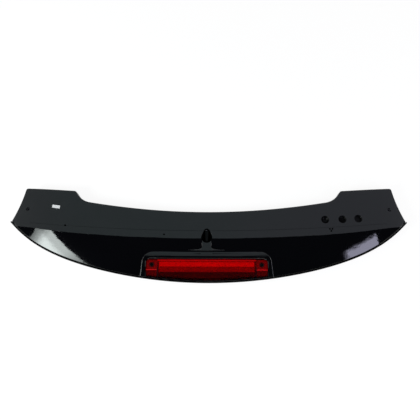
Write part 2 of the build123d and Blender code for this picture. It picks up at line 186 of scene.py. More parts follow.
def mesh_object(name: str, work: bmesh.types.BMesh) -> bpy.types.Object:
    """Turns a finished mesh into an object of the scene.

    Args:
        name: The name of the object and its mesh.
        work: The mesh, which is freed.

    Returns:
        The object.
    """
    data = bpy.data.meshes.new(name)
    work.to_mesh(data)
    work.free()
    made = bpy.data.objects.new(name, data)
    bpy.context.scene.collection.objects.link(made)
    return made


def cut_faces(
    work: bmesh.types.BMesh, faces: Sequence[bmesh.types.BMFace], spot: Vector, way: Vector
) -> None:
    """Cuts faces of a mesh along a plane.

    Args:
        work: The mesh.
        faces: The faces to cut.
        spot: A point of the plane, in millimetres.
        way: The plane's normal.
    """
    edges = dict.fromkeys(edge for face in faces for edge in face.edges)
    corners = dict.fromkeys(corner for face in faces for corner in face.verts)
    bmesh.ops.bisect_plane(work, geom=[*faces, *edges, *corners], plane_co=spot * MM, plane_no=way)


@dataclass(frozen=True)
class Texture:
    """The fine detail of a surface, and how far its tone and polish wander.

    Attributes:
        pattern: The kind of grain.
        scale: How fine the grain is.
        depth: The height of the grain in metres, 0 for none.
        tone: The share by which the colour wanders.
        polish: The share by which the roughness wanders.
        patch_scale: How fine the wandering is.
        draw: The share of its fineness that a drawn grain keeps along each axis.
        calm: The noise levels between which the wandering takes place.
        patch_detail: How many finer layers the wandering has.
        grain_detail: How many finer layers the grain has.
        grain_strength: How strongly the grain turns the light.
    """

    pattern: Pattern = Pattern.MOULDED
    scale: float = 900.0
    depth: float = 0.00002
    tone: float = 0.10
    polish: float = 0.15
    patch_scale: float = 28.0
    draw: Tuple[float, float, float] = (0.06, 1.0, 1.0)
    calm: Span = (0.30, 0.70)
    patch_detail: float = 4.0
    grain_detail: float = 3.0
    grain_strength: float = 0.5


@dataclass(frozen=True)
class Finish:
    """A surface finish, made into a material on first use."""

    name: str
    colour: Colour
    roughness: float
    metallic: float = 0.0
    transmission: float = 0.0
    ior: float = 1.5
    coat: float = 0.0
    coat_roughness: float = 0.03
    texture: Texture = Texture()

    def material(self) -> bpy.types.Material:
        """The material of this finish.

        Returns:
            The material, made once and found by its name after that.
        """
        found = bpy.data.materials.get(self.name)
        if found:
            return found
        made = bpy.data.materials.new(self.name)
        made.use_nodes = True
        tree = made.node_tree
        shader = tree.nodes["Principled BSDF"]
        shader.inputs["Base Color"].default_value = opaque(self.colour)
        shader.inputs["Roughness"].default_value = self.roughness
        shader.inputs["Metallic"].default_value = self.metallic
        shader.inputs["IOR"].default_value = self.ior
        shader.inputs["Transmission Weight"].default_value = self.transmission
        shader.inputs["Coat Weight"].default_value = self.coat
        shader.inputs["Coat Roughness"].default_value = self.coat_roughness
        self.add_patches(tree, shader)
        if self.texture.depth:
            self.add_grain(tree, shader)
        return made

    def add_patches(self, tree: bpy.types.NodeTree, shader: bpy.types.ShaderNode) -> None:
        """Lets the tone and the polish wander a little from place to place.

        Args:
            tree: The material's node tree.
            shader: The surface shader that takes them.
        """
        texture = self.texture
        place = tree.nodes.new("ShaderNodeTexCoord")
        patches = tree.nodes.new("ShaderNodeTexNoise")
        patches.inputs["Scale"].default_value = texture.patch_scale
        patches.inputs["Detail"].default_value = texture.patch_detail
        tone = tree.nodes.new("ShaderNodeValToRGB")
        shares = (1.0 - texture.tone, 1.0 + texture.tone)
        for element, at, share in zip(tone.color_ramp.elements, texture.calm, shares):
            element.position = at
            element.color = opaque(tuple(part * share for part in self.colour))
        least = self.roughness * (1.0 - texture.polish)
        most = self.roughness * (1.0 + texture.polish)
        polish = map_range(tree, texture.calm, (least, most))
        tree.links.new(place.outputs["Object"], patches.inputs["Vector"])
        tree.links.new(patches.outputs["Fac"], tone.inputs["Fac"])
        tree.links.new(patches.outputs["Fac"], polish.inputs["Value"])
        tree.links.new(tone.outputs["Color"], shader.inputs["Base Color"])
        tree.links.new(polish.outputs["Result"], shader.inputs["Roughness"])

    def add_grain(self, tree: bpy.types.NodeTree, shader: bpy.types.ShaderNode) -> None:
        """Adds the fine grain to a material.

        Args:
            tree: The material's node tree.
            shader: The surface shader that takes the grain.
        """
        texture = self.texture
        where = tree.nodes.new("ShaderNodeTexCoord").outputs["Object"]
        if texture.pattern is Pattern.DRAWN:
            drawn = tree.nodes.new("ShaderNodeMapping")
            drawn.inputs["Scale"].default_value = texture.draw
            tree.links.new(where, drawn.inputs["Vector"])
            where = drawn.outputs["Vector"]
        if texture.pattern is Pattern.POROUS:
            grain = tree.nodes.new("ShaderNodeTexVoronoi")
            height = grain.outputs["Distance"]
        else:
            grain = tree.nodes.new("ShaderNodeTexNoise")
            grain.inputs["Detail"].default_value = texture.grain_detail
            height = grain.outputs["Fac"]
        grain.inputs["Scale"].default_value = texture.scale
        bump = tree.nodes.new("ShaderNodeBump")
        bump.inputs["Strength"].default_value = texture.grain_strength
        bump.inputs["Distance"].default_value = texture.depth
        tree.links.new(where, grain.inputs["Vector"])
        tree.links.new(height, bump.inputs["Height"])
        tree.links.new(bump.outputs["Normal"], shader.inputs["Normal"])


WAVY = Texture(scale=45.0, depth=0.0002, patch_scale=12.0)
SATIN = Texture(depth=0.00004, tone=0.05, polish=0.08)
PEEL = Texture(scale=320.0, depth=0.00003)
CLEAR = Texture(depth=0.0, tone=0.03, polish=0.20, patch_scale=70.0)
PLATED = Texture(scale=1400.0, depth=0.00001, tone=0.04)
DRAWN = Texture(
    Pattern.DRAWN, scale=2600.0, depth=0.00002, tone=0.12, polish=0.25, patch_scale=160.0
)
CELLS = Texture(Pattern.POROUS, scale=700.0, depth=0.0004)
FIBRE = Texture(Pattern.DRAWN, scale=1500.0, depth=0.00003, tone=0.02, patch_scale=220.0)
ACRYLIC_IOR = 1.49


def acrylic(name: str, colour: Colour, roughness: float, transmission: float) -> Finish:
    """A red of the lens's acrylic, clear or with painted light or shade."""
    return Finish(name, colour, roughness, transmission=transmission, ior=ACRYLIC_IOR, texture=CLEAR)


GLOSS_BLACK = Finish("gloss_black", (0.0012, 0.0013, 0.0018), roughness=0.035, ior=1.6, texture=WAVY)
SATIN_BLACK = Finish("satin_black", (0.0075, 0.0095, 0.0105), roughness=0.30, texture=SATIN)
# Painted shade: a darker, weakly reflecting black for the insides of recesses, pockets and holes,
# where shade falls.
RECESS_PAINTED_SHADE = Finish("recess_painted_shade", (0.0048, 0.005, 0.0058), roughness=0.35, ior=1.22)
# Painted shade: a darker black with a weak reflection for the up-facing edge of the top skin, so that
# the edge stays dark.
EDGE_PAINTED_SHADE = Finish("edge_painted_shade", (0.0008, 0.0008, 0.001), roughness=0.25, ior=1.18)
PAINT_BLACK = Finish("painted_black", (0.0015, 0.0016, 0.0020), roughness=0.30, coat=1.0, texture=PEEL)
LENS_RED = acrylic("lens_red", (0.80, 0.0015, 0.003), roughness=0.03, transmission=0.97)
# Painted light: a more diffuse, brighter red along the lens's back edge, standing in for light coming
# through the top of the lens.
BACK_PAINTED_LIGHT_RED = acrylic("back_painted_light_red", (0.80, 0.0015, 0.003), roughness=0.05, transmission=0.42)
# Painted light and shade: lit and shaded copies of the same red acrylic, the level part of each screw
# tab lighter than its sloping part.
TAB_PAINTED_LIGHT_RED = acrylic("tab_painted_light_red", (0.50, 0.001, 0.002), roughness=0.05, transmission=0.70)
# Painted shade: the lowest facet of the lens darker.
LOW_PAINTED_SHADE_RED = acrylic("low_painted_shade_red", (0.45, 0.001, 0.002), roughness=0.05, transmission=0.99)
# Painted highlight: a bright, diffuse red strip along the edge across each screw tab, standing in for
# light caught by that edge.
RIDGE_PAINTED_HIGHLIGHT = acrylic("ridge_painted_highlight", (0.80, 0.015, 0.018), roughness=0.05, transmission=0.38)
# Painted shade: the sloping part of each screw tab darker.
FOOT_PAINTED_SHADE_RED = acrylic("foot_painted_shade_red", (0.45, 0.001, 0.002), roughness=0.05, transmission=0.89)
# Painted shade: opaque dark reds for the screw wells, the ring round each well and the step between
# each tab and the facets.
COLLAR_PAINTED_SHADE = Finish("collar_painted_shade", (0.055, 0.0003, 0.0006), roughness=0.20)
SEAM_PAINTED_SHADE = Finish("seam_painted_shade", (0.012, 0.0002, 0.0004), roughness=0.30)
WELL_PAINTED_SHADE = Finish("well_painted_shade", (0.030, 0.0002, 0.0004), roughness=0.30)
BRIGHT_METAL = Finish("bright_metal", (0.78, 0.78, 0.78), roughness=0.14, metallic=1.0, texture=PLATED)
# Painted shade: a darker copy of the reflector's metal for its slope under the fluted facet.
METAL_PAINTED_SHADE = Finish("metal_painted_shade", (0.20, 0.20, 0.20), roughness=0.25, metallic=1.0, texture=PLATED)
MOULDED_BLACK = Finish("moulded_black", (0.010, 0.010, 0.011), roughness=0.38)
NOZZLE_BLACK = Finish("nozzle_black", (0.0008, 0.0010, 0.0012), roughness=0.12, ior=1.2)
BOARD_WHITE = Finish("board_white", (0.62, 0.64, 0.60), roughness=0.45)
DIODE = Finish("diode_resin", (0.75, 0.30, 0.22), roughness=0.30)
CHIP = Finish("chip_black", (0.02, 0.02, 0.02), roughness=0.40)
FOAM = Finish("foam_black", (0.015, 0.015, 0.015), roughness=0.90, texture=CELLS)
ZINC = Finish("black_zinc", (0.018, 0.018, 0.020), roughness=0.30, metallic=1.0, texture=DRAWN)
SPRING_STEEL = Finish("spring_steel", (0.40, 0.40, 0.38), roughness=0.35, metallic=1.0, texture=DRAWN)
RUBBER = Finish("rubber_black", (0.012, 0.012, 0.012), roughness=0.70)
DARK_STEEL = Finish("dark_steel", (0.05, 0.05, 0.055), roughness=0.25, metallic=1.0, texture=DRAWN)
PAPER = Finish("label_paper", (0.86, 0.87, 0.88), roughness=0.60, texture=FIBRE)


@dataclass(frozen=True)
class Contours:
    """The large curved faces as the formulas that the solids follow, in millimetres."""

    half_width: float = 625.0
    edge_y: float = -150.0
    edge_bow: float = 134.0
    tip_sweep: float = 52.0
    tip_sweep_power: int = 8
    crown_radius: float = 6500.0
    chord_radius: float = 1500.0
    ridge_height: float = 54.0
    ridge_y: float = -17.0
    base_droop: float = 1.5
    base_end_fall: float = 11.0
    base_end_power: int = 10
    base_slope_middle: float = 0.20
    base_slope_ends: float = 0.02
    base_slope_spread: float = 330.0
    lip_slope: float = 0.315
    lip_easing: float = 0.00025
    edge_height: float = 9.0
    edge_height_gain: float = 5.0
    edge_gain_power: int = 4
    step: float = 1.0
    tries: int = 12

    def trailing_y(self, x: float) -> float:
        """Where the trailing edge runs in plan."""
        share = x / self.half_width
        return self.edge_y + self.edge_bow * share**2 + self.tip_sweep * share**self.tip_sweep_power

    def top(self, x: float, y: float) -> float:
        """Height of the painted top skin."""
        return x**2 / (2 * self.crown_radius) + y**2 / (2 * self.chord_radius)

    def base(self, x: float, y: float) -> float:
        """Height of the mounting face.

        Args:
            x: Place across the car.
            y: Place from the trailing edge to the roof edge.

        Returns:
            The height there.
        """
        spread = math.exp(-((x / self.base_slope_spread) ** 2))
        slope = self.base_slope_ends + (self.base_slope_middle - self.base_slope_ends) * spread
        share = x / self.half_width
        fall = self.base_droop * share**2 + self.base_end_fall * share**self.base_end_power
        return self.ridge_height - fall - slope * (y - self.ridge_y)

    def lip(self, x: float, y: float) -> float:
        """Height of the lip, found from the nearest point of the trailing edge.

        Args:
            x: Place across the car.
            y: Place from the trailing edge to the roof edge.

        Returns:
            The height there.
        """
        along, inset = x, y - self.trailing_y(x)
        for _ in range(self.tries):
            ahead, behind = self.trailing_y(along + self.step), self.trailing_y(along - self.step)
            slope = (ahead - behind) / (2 * self.step)
            length = math.hypot(1.0, slope)
            along += x - (along - inset * slope / length)
            inset += y - (self.trailing_y(along) + inset / length)
        gain = self.edge_height_gain * (along / self.half_width) ** self.edge_gain_power
        rise = self.lip_slope * inset - self.lip_easing * inset**2
        return self.top(along, self.trailing_y(along)) + (self.edge_height + gain) + rise

    def normal(self, height: Height, spot: Vector) -> Vector:
        """The upward normal of a height formula.

        Args:
            height: One of the height methods.
            spot: A place in metres.

        Returns:
            The unit normal there.
        """
        x, y, step = spot.x / MM, spot.y / MM, self.step
        across = (height(x + step, y) - height(x - step, y)) / (2 * step)
        along = (height(x, y + step) - height(x, y - step)) / (2 * step)
        return Vector((-across, -along, 1.0)).normalized()


@dataclass
class SmoothPiece:
    """A copy of a solid whose curved faces shade smoothly."""

    node: str
    finish: Finish
    sharp_deg: float = 28.0

    def build(self) -> bpy.types.Object:
        """Makes the merged copy and puts it in place of its solid.

        Returns:
            The finished object, before it is dressed.
        """
        name = f"{self.node}_finished"
        work = bmesh.new()
        work.from_mesh(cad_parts[self.node].data)
        bmesh.ops.remove_doubles(work, verts=work.verts, dist=MERGE_DISTANCE)
        self.refine(work)
        piece = mesh_object(name, work)
        data = piece.data
        data.materials.clear()
        data.shade_smooth()
        data.set_sharp_from_angle(angle=math.radians(self.sharp_deg))
        self.even_shading(piece)
        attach(piece, "root")
        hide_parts(self.node)
        LOG.info("%s: %d faces", name, len(data.polygons))
        return piece

    def refine(self, work: bmesh.types.BMesh) -> None:
        """Adds what the solid leaves out; a plain copy needs nothing.

        Args:
            work: The merged copy.
        """

    def even_shading(self, piece: bpy.types.Object) -> None:
        """Lets the large faces set the shading of the rounds between them.

        Args:
            piece: The copy.
        """
        evened = piece.modifiers.new("even_shading", "WEIGHTED_NORMAL")
        evened.mode = "FACE_AREA"
        evened.keep_sharp = True

    def finishes(self) -> Dict[Enum, Finish]:
        """The finish of each zone."""
        return {PieceZone.WHOLE: self.finish}

    def zone(self, face: bpy.types.MeshPolygon) -> Enum:
        """Which zone a face belongs to."""
        return PieceZone.WHOLE

    def dress(self, piece: bpy.types.Object) -> None:
        """Gives each zone of the piece its finish.

        Args:
            piece: The object made by build.
        """
        finishes = self.finishes()
        order = list(finishes)
        for finish in finishes.values():
            piece.data.materials.append(finish.material())
        for face in piece.data.polygons:
            face.material_index = order.index(self.zone(face))


@dataclass
class ContouredPiece(SmoothPiece):
    """A shell whose large faces take their shading from the formulas they follow."""

    sharp_deg: float = 55.0
    contours: Contours = field(default_factory=Contours)
    facet_deg: float = 3.0
    blend_deg: float = 55.0
    wall_up: float = 0.8
    tip_mm: float = 603.0
    tip_up: float = 0.2

    def at_tip(self, face: bpy.types.MeshPolygon) -> bool:
        """Whether a face lies at a tip and can be seen from above."""
        return abs(face.center.x) > self.tip_mm * MM and face.normal.z > self.tip_up

    def even_shading(self, piece: bpy.types.Object) -> None:
        """Sets the exact normals of the mounting face, lip and skin.

        Args:
            piece: The copy.
        """
        data = piece.data
        exact: Dict[int, List[Vector]] = {}
        corners = [Vector(corner.vector) for corner in data.corner_normals]
        near = math.cos(math.radians(self.facet_deg))
        loose: List[int] = []
        for face in data.polygons:
            height = self.face_formula(face, near)
            if height is None:
                loose.append(face.index)
                continue
            sign = 1.0 if face.normal.z > 0 else -1.0
            for loop in face.loop_indices:
                vertex = data.loops[loop].vertex_index
                normal = self.contours.normal(height, data.vertices[vertex].co) * sign
                corners[loop] = normal
                exact.setdefault(vertex, []).append(normal)
        wide = math.cos(math.radians(self.blend_deg))
        for index in loose:
            face = data.polygons[index]
            for loop in face.loop_indices:
                for normal in exact.get(data.loops[loop].vertex_index, ()):
                    if normal.dot(face.normal) > wide:
                        corners[loop] = normal
        data.normals_split_custom_set([tuple(corner) for corner in corners])

    def face_formula(self, face: bpy.types.MeshPolygon, near: float) -> Optional[Height]:
        """Finds the formula that a face follows.

        Args:
            face: A face of the copy.
            near: The least cosine between its normal and the formula's.

        Returns:
            The height method, or nothing for a wall or a round.
        """
        if abs(face.normal.z) < self.wall_up:
            return None
        for height in (self.contours.base, self.contours.lip, self.contours.top):
            normal = self.contours.normal(height, face.center)
            if abs(normal.dot(face.normal)) > near:
                return height
        return None


@dataclass
class Underside(ContouredPiece):
    """The underside moulding: satin where it is level, gloss on the lip and the sides, and painted
    shade inside its recesses and holes.
    """

    level_finish: Finish = SATIN_BLACK
    recess_shade_finish: Finish = RECESS_PAINTED_SHADE
    level_up: float = 0.93
    depth_mm: float = 1.2
    fairing_mm: float = 42.0
    recesses_mm: Sequence[Tuple[float, float]] = ((370.0, 45.0), (423.5, 46.0), (473.0, 48.0))
    recess_radius_mm: float = 12.5
    locating_hole_mm: Tuple[float, float] = (-446.0, 24.0)
    locating_radius_mm: float = 3.2
    vents_mm: Sequence[Tuple[float, float]] = (
        (-133.0, -4.5),
        (386.0, 8.0),
        (382.0, 14.5),
        (390.0, 14.5),
    )
    vent_radius_mm: float = 2.8
    insert_mm: Tuple[float, float] = (573.0, 78.0)
    insert_radius_mm: float = 6.2
    hole_margin_mm: float = 0.05
    brow_level_mm: float = 43.5
    brow_flat: float = 0.999
    line_y_mm: float = -63.4
    line_half_mm: float = 1.3
    line_depth_mm: float = 2.4
    line_start_mm: float = 17.0
    line_deepest_mm: float = 19.5
    line_end_mm: float = 138.0
    near_mm: float = 0.02

    def on_brow(self, face: bmesh.types.BMFace) -> bool:
        """Whether a face lies on the level brow over the lamp."""
        level = abs(face.calc_center_median().z / MM - self.brow_level_mm) < self.near_mm
        return level and face.normal.z > self.brow_flat

    def sink(self, spot: Vector) -> float:
        """How deep a corner of the mesh lies in a line of the brow.

        Args:
            spot: Its place in millimetres.

        Returns:
            The depth in millimetres, 0 outside the lines.
        """
        start, deepest, end = self.line_start_mm, self.line_deepest_mm, self.line_end_mm
        off_line = abs(spot.y - self.line_y_mm) > self.near_mm
        off_level = abs(spot.z - self.brow_level_mm) > self.near_mm
        if off_line or off_level or not start < abs(spot.x) < end:
            return 0.0
        rising = (abs(spot.x) - start) / (deepest - start)
        falling = (end - abs(spot.x)) / (end - deepest)
        return self.line_depth_mm * min(rising, falling)

    def refine(self, work: bmesh.types.BMesh) -> None:
        """Sinks the two lines into the brow, deepest next to the neck.

        Args:
            work: The merged copy.
        """
        cuts = [(DEPTHWAYS, self.line_y_mm + step * self.line_half_mm) for step in (-1.0, 0.0, 1.0)]
        turns = (self.line_start_mm, self.line_deepest_mm, self.line_end_mm)
        cuts += [(WIDTHWAYS, side * x) for x in turns for side in SIDES]
        work.normal_update()
        for way, place in cuts:
            cut_faces(work, [face for face in work.faces if self.on_brow(face)], way * place, way)
        for corner in work.verts:
            corner.co.z -= self.sink(corner.co / MM) * MM
        wide = [face for face in work.faces if len(face.verts) > TRIANGLE_CORNERS]
        bmesh.ops.triangulate(work, faces=wide)

    def in_hole(self, spot: Vector) -> bool:
        """Whether a place is inside a recess or a hole of the moulding.

        Args:
            spot: The place in millimetres.

        Returns:
            True inside one of them, its wall included.
        """
        inserts = [(side * self.insert_mm[0], self.insert_mm[1]) for side in SIDES]
        holes = (
            (self.recesses_mm, self.recess_radius_mm),
            ([self.locating_hole_mm], self.locating_radius_mm),
            (self.vents_mm, self.vent_radius_mm),
            (inserts, self.insert_radius_mm),
        )
        for middles, radius in holes:
            for x, y in middles:
                if math.hypot(spot.x - x, spot.y - y) < radius + self.hole_margin_mm:
                    return True
        return False

    def finishes(self) -> Dict[Enum, Finish]:
        """Gloss for the lip, satin for the level faces and a darker black as painted shade in the
        recesses.

        Returns:
            The finish of each zone.
        """
        return {
            UndersideZone.LIP: self.finish,
            UndersideZone.MOUNTING: self.level_finish,
            UndersideZone.RECESS: self.recess_shade_finish,
        }

    def zone(self, face: bpy.types.MeshPolygon) -> UndersideZone:
        """Which part of the moulding a face belongs to.

        Args:
            face: A face of the copy.

        Returns:
            Its zone.
        """
        spot = face.center / MM
        base = self.contours.base(spot.x, spot.y)
        lip = self.contours.lip(spot.x, spot.y)
        above = spot.z - min(base, lip)
        # Painted shade: recesses, holes and pockets take the darker black.
        if self.in_hole(spot):
            return UndersideZone.RECESS
        if self.at_tip(face):
            return UndersideZone.MOUNTING
        if face.normal.z > self.level_up and abs(above) < self.depth_mm and base < lip:
            return UndersideZone.MOUNTING
        if face.normal.z > self.level_up and above > self.depth_mm and spot.z > self.fairing_mm:
            return UndersideZone.MOUNTING
        if base < lip and above < -self.depth_mm and face.normal.z > -self.level_up:
            return UndersideZone.RECESS
        return UndersideZone.LIP


@dataclass
class PaintedSkin(ContouredPiece):
    """The top skin: gloss paint below, and all round an edge that faces up, given a darker, weakly
    reflecting black as painted shade.
    """

    edge_shade_finish: Finish = EDGE_PAINTED_SHADE
    tip_finish: Finish = SATIN_BLACK
    edge_up: float = -0.5

    def finishes(self) -> Dict[Enum, Finish]:
        """Gloss for the painted face, a darker black as painted shade for the edge and satin for the
        tips.

        Returns:
            The finish of each zone.
        """
        return {
            SkinZone.PAINT: self.finish,
            SkinZone.EDGE: self.edge_shade_finish,
            SkinZone.TIP: self.tip_finish,
        }

    def zone(self, face: bpy.types.MeshPolygon) -> SkinZone:
        """Which part of the skin a face belongs to.

        Args:
            face: A face of the copy.

        Returns:
            Its zone.
        """
        # Painted shade: edge faces that face up take the darker black, except at the tips.
        if face.normal.z <= self.edge_up:
            return SkinZone.PAINT
        return SkinZone.TIP if self.at_tip(face) else SkinZone.EDGE


@dataclass
class Lens(SmoothPiece):
    """The red lens: clear over the reflector, with painted light and shade at its back edge, lowest
    facet, screw tabs and screw wells.
    """

    # Reds with painted light and shade, zone by zone.
    painted_light_and_shade_reds: Dict[LensZone, Finish] = field(default_factory=lambda: {
        LensZone.LOW: LOW_PAINTED_SHADE_RED,
        LensZone.BACK: BACK_PAINTED_LIGHT_RED,
        LensZone.TAB: TAB_PAINTED_LIGHT_RED,
        LensZone.RIDGE: RIDGE_PAINTED_HIGHLIGHT,
        LensZone.FOOT: FOOT_PAINTED_SHADE_RED,
        LensZone.WELL: WELL_PAINTED_SHADE,
        LensZone.COLLAR: COLLAR_PAINTED_SHADE,
        LensZone.SEAM: SEAM_PAINTED_SHADE,
    })
    back_mm: float = -84.5
    low_mm: float = -117.4
    tab_mm: float = 152.5
    ridge_mm: Span = (-109.3, -112.0)
    screw_mm: Tuple[float, float] = (170.75, -95.4)
    well_mm: float = 6.2
    collar_mm: float = 8.2
    collar_sides: int = 12
    seam_mm: Span = (151.9, 154.7)
    seam_back_mm: float = -101.0

    def refine(self, work: bmesh.types.BMesh) -> None:
        """Parts the faces where the painted light and shade of the red changes.

        Args:
            work: The merged copy.
        """
        cuts = [(DEPTHWAYS, y) for y in (self.back_mm, self.seam_back_mm, *self.ridge_mm)]
        cuts += [(WIDTHWAYS, side * x) for x in self.seam_mm for side in SIDES]
        for way, place in cuts:
            cut_faces(work, work.faces[:], way * place, way)
        for side in SIDES:
            self.ring_well(work, side)

    def ring_well(self, work: bmesh.types.BMesh, side: float) -> None:
        """Cuts the outline of the painted shade ring round the screw well into a screw tab.

        Args:
            work: The merged copy.
            side: -1 for the left tab and 1 for the right one.
        """
        screw = Vector((side * self.screw_mm[0], self.screw_mm[1], 0.0))
        start = self.tab_mm * MM
        for step in range(self.collar_sides):
            turn = 2 * math.pi * step / self.collar_sides
            way = Vector((math.cos(turn), math.sin(turn), 0.0))
            tab = [face for face in work.faces if face.calc_center_median().x * side > start]
            cut_faces(work, tab, screw + way * self.collar_mm, way)

    def even_shading(self, piece: bpy.types.Object) -> None:
        """Keeps the facets crisp."""
        piece.data.shade_flat()

    def finishes(self) -> Dict[Enum, Finish]:
        """The red of each zone: clear, or with painted light or shade."""
        return {LensZone.CLEAR: self.finish, **self.painted_light_and_shade_reds}

    def zone(self, face: bpy.types.MeshPolygon) -> LensZone:
        """Which part of the lens a face belongs to.

        Args:
            face: A face of the copy.

        Returns:
            Its zone.
        """
        spot = face.center / MM
        from_screw = math.hypot(abs(spot.x) - self.screw_mm[0], spot.y - self.screw_mm[1])
        # Every zone but CLEAR paints light or shade into the red.
        if from_screw < self.collar_mm:
            return LensZone.WELL if from_screw < self.well_mm else LensZone.COLLAR
        if self.seam_mm[0] < abs(spot.x) < self.seam_mm[1] and spot.y < self.seam_back_mm:
            return LensZone.SEAM
        if abs(spot.x) > self.tab_mm:
            upper, lower = self.ridge_mm
            if spot.y < lower:
                return LensZone.FOOT
            return LensZone.RIDGE if spot.y < upper else LensZone.TAB
        if spot.y < self.low_mm:
            return LensZone.LOW
        return LensZone.BACK if spot.y > self.back_mm else LensZone.CLEAR


@dataclass
class Reflector(SmoothPiece):
    """The stepped panel in the lamp: bright under the top facet, and under the fluted one a darker
    metal as painted shade.
    """

    painted_shade_finish: Finish = METAL_PAINTED_SHADE
    nose_mm: float = -100.8

    def even_shading(self, piece: bpy.types.Object) -> None:
        """Keeps the steps crisp."""
        piece.data.shade_flat()

    def finishes(self) -> Dict[Enum, Finish]:
        """Bright metal for the steps and a darker one, painted shade, for the slope."""
        return {ReflectorZone.STEPS: self.finish, ReflectorZone.SLOPE: self.painted_shade_finish}

    def zone(self, face: bpy.types.MeshPolygon) -> ReflectorZone:
        """Which part of the reflector a face belongs to."""
        # Painted shade: the slope takes the darker metal.
        on_slope = face.center.y / MM < self.nose_mm
        return ReflectorZone.SLOPE if on_slope else ReflectorZone.STEPS


@dataclass
class Spoiler:
    """All the pieces of the spoiler and what each is made of."""

    finished: List[SmoothPiece] = field(default_factory=lambda: [
        PaintedSkin("upper_shell", PAINT_BLACK),
        Underside("lower_shell", GLOSS_BLACK),
        Lens("stop_lamp_lens", LENS_RED),
        Reflector("stop_lamp_reflector", BRIGHT_METAL),
        SmoothPiece("washer_nozzle_body", NOZZLE_BLACK),
        SmoothPiece("stop_lamp_screws", ZINC),
    ])
    plain: Dict[str, Finish] = field(default_factory=lambda: {
        "stop_lamp_housing": MOULDED_BLACK,
        "stop_lamp_circuit_board": BOARD_WHITE,
        "stop_lamp_leds": DIODE,
        "stop_lamp_resistors": CHIP,
        "stop_lamp_seal": FOAM,
        "stop_lamp_clip_nuts": SPRING_STEEL,
        "stop_lamp_connector": MOULDED_BLACK,
        "washer_nozzle_jet": DARK_STEEL,
        "washer_nozzle_seal": RUBBER,
        "threaded_inserts": DARK_STEEL,
        "inspection_label": PAPER,
    })

    def build(self) -> None:
        """Builds and dresses every piece."""
        for part in self.finished:
            part.dress(part.build())
        for node, finish in self.plain.items():
            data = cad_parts[node].data
            data.materials.clear()
            data.materials.append(finish.material())
            LOG.info("%s: %s", node, finish.name)


@dataclass(frozen=True)
class Ramp:
    """How a lamp's face changes along its width or height, both counted from 0 to 1.

    Attributes:
        along: The direction of the change.
        start: Where it starts.
        end: Where it ends.
        before: The share of light before it.
        after: The share of light after it.
    """

    along: Along
    start: float
    end: float
    before: float
    after: float


@dataclass(frozen=True)
class Softbox:
    """A square-on studio lamp, placed by its direction from the object.

    Attributes:
        name: The lamp's name.
        azimuth: Its direction in plan, in degrees from +Y towards +X.
        elevation: Its direction over the ground, in degrees.
        distance: How far it is from the point it is turned to, in metres.
        width: The width of its face in metres.
        height: The height of its face in metres.
        radiance: How bright its face is.
        aim: The point it is turned to.
        colour: The colour of its light.
        roll: How far its face is turned about its own axis, in degrees.
        ramps: How its face falls off.
    """

    name: str
    azimuth: float
    elevation: float
    distance: float
    width: float
    height: float
    radiance: float
    aim: Tuple[float, float, float]
    colour: Colour = WHITE
    roll: float = 0.0
    ramps: Sequence[Ramp] = ()

    def build(self) -> None:
        """Hangs the lamp and turns it to the end of the lip that it lights."""
        lamp = bpy.data.lights.new(self.name, "AREA")
        lamp.shape = "RECTANGLE"
        lamp.size = self.width
        lamp.size_y = self.height
        lamp.energy = self.radiance * math.pi * self.width * self.height
        lamp.color = self.colour
        if self.ramps:
            self.shade(lamp)
        obj = bpy.data.objects.new(self.name, lamp)
        obj.visible_camera = False
        obj.visible_transmission = False
        turn, tilt = math.radians(self.azimuth), math.radians(self.elevation)
        level = math.cos(tilt)
        way = Vector((math.sin(turn) * level, math.cos(turn) * level, math.sin(tilt)))
        obj.location = Vector(self.aim) + way * self.distance
        roll = Matrix.Rotation(math.radians(self.roll), 3, "Z")
        obj.rotation_euler = (way.to_track_quat("Z", "Y").to_matrix() @ roll).to_euler()
        bpy.context.scene.collection.objects.link(obj)

    def shade(self, lamp: bpy.types.Light) -> None:
        """Lets the lamp's face fall off as a diffuser's does.

        Args:
            lamp: The light to shade.
        """
        lamp.use_nodes = True
        tree = lamp.node_tree
        place = tree.nodes.new("ShaderNodeNewGeometry")
        split = tree.nodes.new("ShaderNodeSeparateXYZ")
        tree.links.new(place.outputs["Parametric"], split.inputs["Vector"])
        total: Optional[bpy.types.NodeSocket] = None
        for ramp in self.ramps:
            level = map_range(tree, (ramp.start, ramp.end), (ramp.before, ramp.after))
            level.interpolation_type = "SMOOTHSTEP"
            tree.links.new(split.outputs[ramp.along.value], level.inputs["Value"])
            found = level.outputs["Result"]
            total = found if total is None else join_numbers(tree, Rule.PRODUCT, total, found)
        tree.links.new(total, tree.nodes["Emission"].inputs["Strength"])


def strip_lamp(name: str, side: float) -> Softbox:
    """Makes the low strip lamp at one end of the spoiler.

    Args:
        name: The lamp's name.
        side: -1 for the left end and 1 for the right one.

    Returns:
        The lamp, not yet built.
    """
    return Softbox(
        name,
        azimuth=side * 82.0,
        elevation=13.0,
        distance=2.2,
        width=1.0,
        height=0.45,
        radiance=6.0,
        aim=(side * 0.2, -0.1, 0.03),
    )


